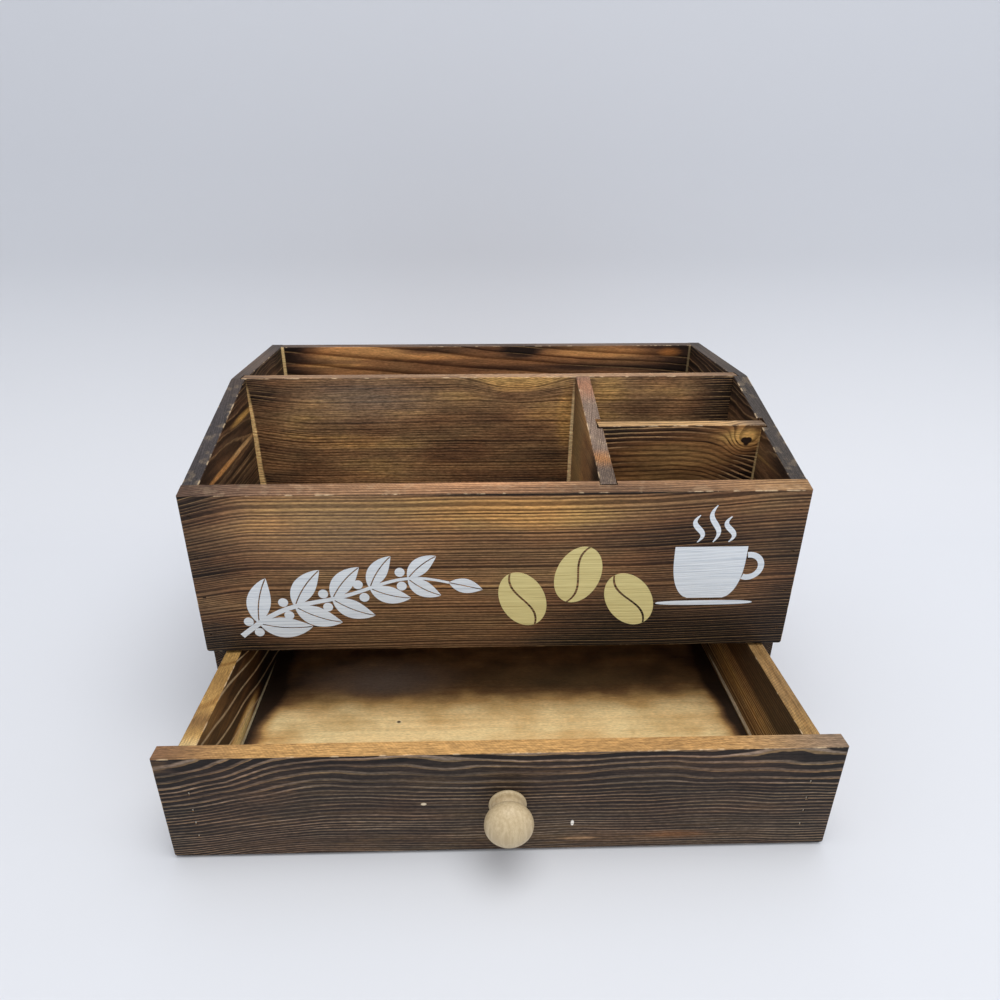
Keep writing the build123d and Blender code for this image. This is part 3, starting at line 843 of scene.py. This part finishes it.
def makeKnob():
    # The profile goes round the axis: x and z are the radius times cosine and sine of the turn,
    # y goes out from the drawer's face. A point closes the crown and another the back
    low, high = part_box("drawer_knob")
    axisX, axisZ, faceY = (low.x + high.x) / 2, (low.z + high.z) / 2, high.y
    radius, out = knobProfile().T * mm
    rows, columns = len(radius), knob["segments"]
    turn = np.arange(columns) * 2 * math.pi / columns
    rings = np.stack([
        axisX + np.outer(radius, np.cos(turn)),
        faceY - np.repeat(out[:, None], columns, 1),
        axisZ + np.outer(radius, np.sin(turn)),
    ], 2).reshape(-1, 3)
    poles = [[axisX, faceY - out.max(), axisZ], [axisX, faceY, axisZ]]
    column = np.arange(columns)
    following = (column + 1) % columns
    ring = np.arange(rows - 1)[:, None] * columns
    quads = np.stack([
        ring + column, ring + columns + column, ring + columns + following, ring + following,
    ], 2).reshape(-1, 4)
    crown, back, base = rows * columns, rows * columns + 1, (rows - 1) * columns
    crownFan = np.stack([np.full(columns, crown), column, following], 1)
    backFan = np.stack([np.full(columns, back), base + following, base + column], 1)
    faces = quads.tolist() + crownFan.tolist() + backFan.tolist()
    piece = newPiece("turnedKnob", np.concatenate([rings, poles]), faces, turnedBeech("turnedBeech"))
    piece.data.shade_smooth()
    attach(piece, "drawer")
    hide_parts("drawer_knob")
    return piece


def turnedBeech(name):
    # Beech turned on a lathe, sanded and given thin wax: pale, even, with short dark rays that show
    # as dashes along the grain and a soft sheen
    material, tree = newMaterial(name)
    point = grainPoint(tree, "drawer_knob", alongZ)[0]
    lines = grainField(tree, point, knob, "lines", (0.0, 1.0))
    rays = grainField(tree, point, knob, "rays", (0.0, knob["rayShare"]))
    colour = layColours(tree, knob["ground"], [(lines, knob["lineColour"]), (rays, knob["rayColour"])])
    height = addNode(tree, "Math", "MULTIPLY", {0: rays, 1: -knob["rayDepth"]})
    finishMaterial(tree, colour, grainField(tree, point, knob, "handling"), height, knob)
    return material


turnedKnob = makeKnob()
print("knob turned:", len(turnedKnob.data.polygons), "faces")

# Steel fixings. Drawn wire keeps fine lines along its length, and the flame left soot on the case's
steel = {
    "seed": 79,
    "scratches": (2.5, 0.12),  # length and width in mm
    "scratchDepth": 0.01,
    "grimeSize": 0.625,
    "grimeDetail": 3.0,
    "grimeShows": (0.45, 0.62),  # the stretch of the noise's values that shows
}
finishes = {
    "brightWireSteel": {
        "colour": "d6cdbd",
        "grime": "9b8b76",
        "grimeShare": 0.5,
        "rough": (0.35, 0.6),
        "gloss": {"Metallic": 0.3},
    },
    "sootedWireSteel": {
        "colour": "4a3d33",
        "grime": "1d1511",
        "grimeShare": 0.8,
        "rough": (0.55, 0.85),
        "gloss": {"Metallic": 0.6},
    },
    "zincPlatedSteel": {
        "colour": "c3c6c9",
        "grime": "83868a",
        "grimeShare": 0.35,
        "rough": (0.22, 0.42),
        "gloss": {"Metallic": 1.0},
    },
}


def drawnSteel(name, finish):
    # Steel wire, headed and plated or burnt: grime sits in patches under a millimetre across, and
    # fine scratches break up the shine
    material, tree = newMaterial(name)
    coordinates = addNode(tree, "TexCoord")
    point = addNode(tree, "VectorMath", "SCALE", {0: coordinates.outputs["Object"], "Scale": perMetre})
    grime = addNode(tree, "TexNoise", feeds={
        "Vector": point, "Scale": 1 / steel["grimeSize"], "Detail": steel["grimeDetail"],
    })
    first, last = steel["grimeShows"]
    grime = addNode(tree, "MapRange", feeds={
        "Value": grime, "From Min": first, "From Max": last, "To Max": finish["grimeShare"],
    })
    colour = layColours(tree, finish["colour"], [(grime, finish["grime"])])
    scratches = grainField(tree, point, steel, "scratches")
    height = addNode(tree, "Math", "MULTIPLY", {0: scratches, 1: steel["scratchDepth"]})
    finishMaterial(tree, colour, scratches, height, finish)
    return material


steels = {name: drawnSteel(name, finish) for name, finish in finishes.items()}
brads = [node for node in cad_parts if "brad" in node]
for node in brads:
    dress(node, steels["brightWireSteel" if "drawer" in node else "sootedWireSteel"])
dress("knob_screw", steels["zincPlatedSteel"])
print("fixings dressed:", brads)

# Painted work on the front panel: a leafy sprig, three beans and a cup, brushed through stencils.
# Each shape is a thin plate between a left and a right edge, x and z in mm on the panel's face
paint = {
    "thickness": 0.12,
    "step": 0.002,  # each stroke lies this much over the one before
    "sunk": 0.05,
    "white": "ebf1f7",
    "whiteThin": "c3cdd8",
    "cream": "e6d898",
    "creamThin": "bfae72",
    "seed": 83,
    "bristles": (26, 0.5),  # length and width of a bristle's track
    "bare": 0.7,  # how much of the thin colour the tracks show
    "lineShows": 0.3,
    "lineRelief": 0.7,  # share of the wood's relief that the coat leaves
    "bristleRelief": 0.06,
    "rough": (0.7, 0.9),
    "gloss": {"IOR": 1.45},
}
sprig = {
    "start": (-152.0, 82.0),
    "end": (-28.0, 117.0),
    "stations": 90,
    "arch": 12.0,  # how far the stem bows upwards
    "sway": 3.0,
    "stem": (1.7, 0.7),  # half width at the start and at the tip
    "pairs": 6,
    "firstPair": 0.09,  # share of the stem before it
    "leafStations": 25,
    "leafLength": (33.0, 20.0),  # at the stem's start and at its tip
    "leafWidth": (7.4, 4.8),  # half width
    "leafRound": 0.8,  # lower is blunter
    "leafFullness": (1.12, 0.82),  # at the leaf's root and at its tip
    "leafAngle": (56.0, 50.0),
    "leafBend": 0.5,  # radians
    "midrib": 0.7,
    "cherryRadius": 2.9,
    "cherryBack": (4.2, 5.6),  # from a leaf's root back along the stem, for every other pair
    "cherryAway": 4.6,  # from the stem to a cherry's middle
}
beans = {
    "places": [(15.0, 105.0, 24.0), (47.0, 121.0, -18.0), (78.0, 104.0, 31.0)],  # x, z and tilt in degrees
    "stations": 41,
    "half": (19.0, 13.2),  # half length and half width
    "crease": 1.3,
    "bow": 3.6,
}
cup = {
    "at": (123.0, 99.0),
    "stations": 31,
    "height": 34.0,
    "lift": 5.5,  # up to the foot
    "rim": 21.0,  # half widths
    "foot": 10.5,
    "bowlPowers": (3.2, 0.62),  # the first fills the bowl near its foot, the second near its rim
    "handle": (9.2, 5.6),  # outer and inner radius
    "handleOut": 2.0,
    "handleShare": 0.62,  # of the height, up to the handle's middle
    "handleTurn": (-1.95, 1.75),  # radians
    "handleStations": 33,
    "saucer": (29.0, 3.0),
    "saucerLift": 0.6,
    "saucerPower": 0.6,
    "saucerStations": 25,
    "steam": [(-9.0, 17.0), (0.0, 23.0), (9.0, 16.0)],  # x from the cup's middle, and height
    "steamLift": 8.5,
    "steamSway": 2.6,
    "steamWidth": (0.25, 1.35),  # half width at the ends, and what the middle adds
}


def ribbonPlates(name, ribbons, colour, thin):
    # Each ribbon is a pair of edges, stations by (x, z). A station has four corners: left and right
    # on the painted face, right and left just inside the wood
    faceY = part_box("front_panel")[0].y
    side = np.array([[0, 1, 5, 4], [1, 2, 6, 5], [2, 3, 7, 6], [3, 0, 4, 7]])
    points, faces, start = [], [], 0
    for index, (left, right) in enumerate(ribbons):
        count = len(left)
        front = np.full(count, faceY - (paint["thickness"] + paint["step"] * index) * mm)
        back = np.full(count, faceY + paint["sunk"] * mm)
        corners = np.stack([
            np.stack([edge[:, 0] * mm, depth, edge[:, 1] * mm], 1)
            for edge, depth in ((left, front), (right, front), (right, back), (left, back))
        ], 1)
        points.append(corners.reshape(-1, 3))
        station = start + 4 * np.arange(count - 1)[:, None, None]
        last = start + 4 * (count - 1)
        faces.append((station + side).reshape(-1, 4))
        faces.append(np.array([[start + 3, start + 2, start + 1, start]]))
        faces.append(np.array([[last, last + 1, last + 2, last + 3]]))
        start += 4 * count
    coat = stencilPaint(name, colour, thin)
    piece = newPiece(name, np.concatenate(points), np.concatenate(faces).tolist(), coat)
    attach(piece, "case")


def stencilPaint(name, colour, thin):
    # Chalk paint brushed on in one thin coat along the grain: matt, and the latewood lines and the
    # bristles' tracks show through
    material, tree = newMaterial("chalkPaint." + name)
    wood = {**pine, **boards["front_panel"]}
    point = grainPoint(tree, "front_panel", wood["turn"])[0]
    line = growthRings(tree, point, wood)[0]
    tracks = grainField(tree, point, paint, "bristles", (0.0, paint["bare"]))
    shows = addNode(tree, "Math", "MULTIPLY_ADD", {0: line, 1: paint["lineShows"], 2: tracks})
    bristles = grainField(tree, point, paint, "bristles")
    height = addNode(tree, "Math", "MULTIPLY", {0: line, 1: wood["relief"] * paint["lineRelief"]})
    height = addNode(tree, "Math", "MULTIPLY_ADD", {0: bristles, 1: paint["bristleRelief"], 2: height})
    finishMaterial(tree, layColours(tree, colour, [(shows, thin)]), bristles, height, paint)
    return material


def between(pair, share):
    # The value that far from the pair's first to its last
    return pair[0] + (pair[1] - pair[0]) * share


def alongCurve(path, halfWidth):
    # Left and right edges: the path plus and minus its unit normal times the half width
    tangent = np.gradient(path, axis=0)
    tangent /= np.linalg.norm(tangent, axis=1)[:, None]
    normal = np.stack([-tangent[:, 1], tangent[:, 0]], 1) * np.asarray(halfWidth).reshape(-1, 1)
    return path + normal, path - normal


def mirrored(middle, half, height):
    # Left and right edges, as far to either side of the middle at each height
    return np.stack([middle - half, height], 1), np.stack([middle + half, height], 1)


def disc(centre, radius, count=17):
    # Chords of a circle from bottom to top: half width is the cosine, height the sine
    angle = np.linspace(-math.pi / 2, math.pi / 2, count)
    return mirrored(centre[0], radius * np.cos(angle), centre[1] + radius * np.sin(angle))


def sprigRibbons():
    # The stem is a straight line plus one half wave and three small ones. Each leaf is a lens on a
    # curved axis, split along its midrib: half width is a power of the sine of pi times the share
    # along, less towards the tip
    share = np.linspace(0, 1, sprig["stations"])
    start, end = np.array(sprig["start"]), np.array(sprig["end"])
    stem = start + np.outer(share, end - start)
    stem[:, 1] += sprig["arch"] * np.sin(math.pi * share) + sprig["sway"] * np.sin(3 * math.pi * share)
    ribbons = [alongCurve(stem, between(sprig["stem"], share))]
    heading = np.gradient(stem, axis=0)
    along = np.linspace(0, 1, sprig["leafStations"])
    lens = np.sin(math.pi * along) ** sprig["leafRound"] * between(sprig["leafFullness"], along)
    for index, place in enumerate(np.linspace(sprig["firstPair"], 1.0, sprig["pairs"])):
        length, width = between(sprig["leafLength"], place), between(sprig["leafWidth"], place)
        at = int(place * (sprig["stations"] - 1))
        root = stem[at]
        forward = math.atan2(heading[at, 1], heading[at, 0])
        ahead = np.array([math.cos(forward), math.sin(forward)])
        aside = np.array([-math.sin(forward), math.cos(forward)])
        atTip = index == sprig["pairs"] - 1
        for side in (0,) if atTip else (-1, 1):
            angle = forward + side * math.radians(between(sprig["leafAngle"], place))
            bend = angle - side * sprig["leafBend"] * along
            step = np.stack([np.cos(bend), np.sin(bend)], 1) * length / (sprig["leafStations"] - 1)
            axis = root + np.cumsum(step, 0) - step[0]
            outer = alongCurve(axis, width * lens)
            inner = alongCurve(axis, np.minimum(sprig["midrib"] / 2, width * lens))
            ribbons += [(outer[0], inner[0]), (inner[1], outer[1])]
            if side:
                centre = root - ahead * sprig["cherryBack"][index % 2] + aside * side * sprig["cherryAway"]
                ribbons.append(disc(centre, sprig["cherryRadius"]))
    return ribbons


def beanRibbons():
    # An ellipse along its own length, halved by a crease that bows as a sine
    share = np.linspace(-1, 1, beans["stations"])
    halfLength, halfWidth = beans["half"]
    angle = share * math.pi / 2
    edge = halfWidth * np.cos(angle)
    crease = beans["bow"] * np.sin(math.pi * share) * np.cos(angle)
    gap = np.maximum(np.minimum(beans["crease"] / 2, edge - np.abs(crease)), 0.0)
    along = halfLength * np.sin(angle)
    ribbons = []
    for x, z, tilt in beans["places"]:
        tilt = math.radians(tilt + 90)
        turn = np.array([[math.cos(tilt), math.sin(tilt)], [-math.sin(tilt), math.cos(tilt)]])
        for halves in ((edge, crease + gap), (crease - gap, -edge)):
            ribbons.append([np.stack([along, across], 1) @ turn + (x, z) for across in halves])
    return ribbons


def cupRibbons():
    # The bowl narrows from rim to foot as a quarter of a flattened ellipse; the handle is an arc
    # with width, the saucer a lens, and each wisp of steam a sine that thins at both ends
    x, z = cup["at"]
    rise = np.linspace(0, 1, cup["stations"])
    low, high = cup["bowlPowers"]
    half = between((cup["foot"], cup["rim"]), (1 - (1 - rise) ** low) ** high)
    bowl = mirrored(x, half, z + cup["lift"] + cup["height"] * rise)
    outer, inner = cup["handle"]
    turn = np.linspace(*cup["handleTurn"], cup["handleStations"])
    middle = np.array([
        x + cup["rim"] + cup["handleOut"],
        z + cup["lift"] + cup["height"] * cup["handleShare"],
    ])
    circle = np.stack([np.cos(turn), np.sin(turn)], 1)
    handle = (middle + circle * inner, middle + circle * outer)
    reach, thick = cup["saucer"]
    angle = np.linspace(-math.pi / 2, math.pi / 2, cup["saucerStations"])
    level = z + cup["saucerLift"] + thick * 0.5 * (1 + np.sin(angle))
    saucer = mirrored(x, np.cos(angle) ** cup["saucerPower"] * reach, level)
    ribbons = [bowl, handle, saucer]
    thin, swell = cup["steamWidth"]
    for offset, height in cup["steam"]:
        path = np.stack([
            x + offset + cup["steamSway"] * np.sin(2 * math.pi * rise),
            z + cup["height"] + cup["steamLift"] + height * rise,
        ], 1)
        ribbons.append(alongCurve(path, thin + swell * np.sin(math.pi * rise)))
    return ribbons


ribbonPlates("paintedSprig", sprigRibbons(), paint["white"], paint["whiteThin"])
ribbonPlates("paintedBeans", beanRibbons(), paint["cream"], paint["creamThin"])
ribbonPlates("paintedCup", cupRibbons(), paint["white"], paint["whiteThin"])
print("painted work done")

# The studio, in metres: a pale sweep under and behind, a wide softbox overhead and even light from
# all round
studio = {
    "halfWidth": 3.6,
    "front": -4.0,
    "back": 0.42,
    "bend": 0.25,
    "bendPoints": 24,
    "acrossPoints": 3,
    "height": 2.2,
    "floorColour": "dcdee3",
    "wallColour": "cfd2d9",
    "wallFrom": 0.35,  # the height from which the sweep has the wall's colour
    "paperRoughness": 0.9,
    "lampAt": (0.25, -0.45, 1.9),
    "lampAim": (0.0, 0.0, 0.1),
    "lampSize": 1.6,
    "lampPower": 25.0,
    "evenColour": "fafbfd",
    "evenStrength": 0.66,
}


def studioPaper(name):
    # Matt background paper, its colour turning from the floor's to the wall's with the height
    material, tree = newMaterial(name)
    coordinates = addNode(tree, "TexCoord")
    height = addNode(tree, "SeparateXYZ", feeds={0: coordinates.outputs["Object"]}).outputs["Z"]
    rise = addNode(tree, "MapRange", feeds={"Value": height, "From Max": studio["wallFrom"]})
    colour = layColours(tree, studio["floorColour"], [(rise, studio["wallColour"])])
    shader = addNode(tree, "BsdfPrincipled", feeds={
        "Base Color": colour, "Roughness": studio["paperRoughness"],
    })
    addNode(tree, "OutputMaterial", feeds={"Surface": shader})
    return material


def makeSweep():
    # A profile carried along x: flat floor, a quarter circle, then an upright wall
    turn = np.linspace(-math.pi / 2, 0, studio["bendPoints"])
    bendY = studio["back"] - studio["bend"] + studio["bend"] * np.cos(turn)
    bendZ = studio["bend"] + studio["bend"] * np.sin(turn)
    profileY = np.concatenate([[studio["front"]], bendY, [studio["back"]]])
    profileZ = np.concatenate([[0.0], bendZ, [studio["height"]]])
    acrossX = np.linspace(-studio["halfWidth"], studio["halfWidth"], studio["acrossPoints"])
    gridX, gridY = np.meshgrid(acrossX, profileY)
    gridZ = np.meshgrid(acrossX, profileZ)[1]
    points = np.stack([gridX, gridY, gridZ], 2).reshape(-1, 3)
    rows, columns = gridX.shape
    corner = (np.arange(rows - 1)[:, None] * columns + np.arange(columns - 1)).ravel()
    faces = np.stack([corner, corner + 1, corner + columns + 1, corner + columns], 1)
    sweep = newPiece("studioSweep", points, faces.tolist(), studioPaper("studioPaper"))
    sweep.data.shade_smooth()


def addSoftbox(name, place, target, size, power):
    # A square area lamp that looks at the target
    light = bpy.data.lights.new(name, "AREA")
    light.shape = "SQUARE"
    light.size = size
    light.energy = power
    lamp = bpy.data.objects.new(name, light)
    lamp.location = place
    lamp.rotation_euler = (Vector(target) - Vector(place)).to_track_quat("-Z", "Y").to_euler()
    bpy.context.scene.collection.objects.link(lamp)


makeSweep()
addSoftbox("overhead", studio["lampAt"], studio["lampAim"], studio["lampSize"], studio["lampPower"])
world = bpy.data.worlds.new("evenLight")
world.use_nodes = True
world.node_tree.nodes["Background"].inputs["Color"].default_value = linearColour(studio["evenColour"])
world.node_tree.nodes["Background"].inputs["Strength"].default_value = studio["evenStrength"]
bpy.context.scene.world = world

# The camera stands where the photograph was taken from, found by fitting the board edges
view = {
    "sensorWidth": 36.0,
    "lens": 25.52,
    "shift": (0.0136, 0.0194),
    "at": (-15.35 * mm, -471.4 * mm, 326.4 * mm),
    "tilt": 64.659,  # degrees up from straight down
    "turn": -1.456,
}
camera = bpy.data.cameras.new("camera")
camera.sensor_width = view["sensorWidth"]
camera.lens = view["lens"]
camera.shift_x, camera.shift_y = view["shift"]
cameraObject = bpy.data.objects.new("camera", camera)
cameraObject.location = view["at"]
cameraObject.rotation_euler = (math.radians(view["tilt"]), 0.0, math.radians(view["turn"]))
bpy.context.scene.collection.objects.link(cameraObject)
bpy.context.scene.camera = cameraObject
bpy.context.scene.view_settings.view_transform = "Standard"
print("studio and camera set")
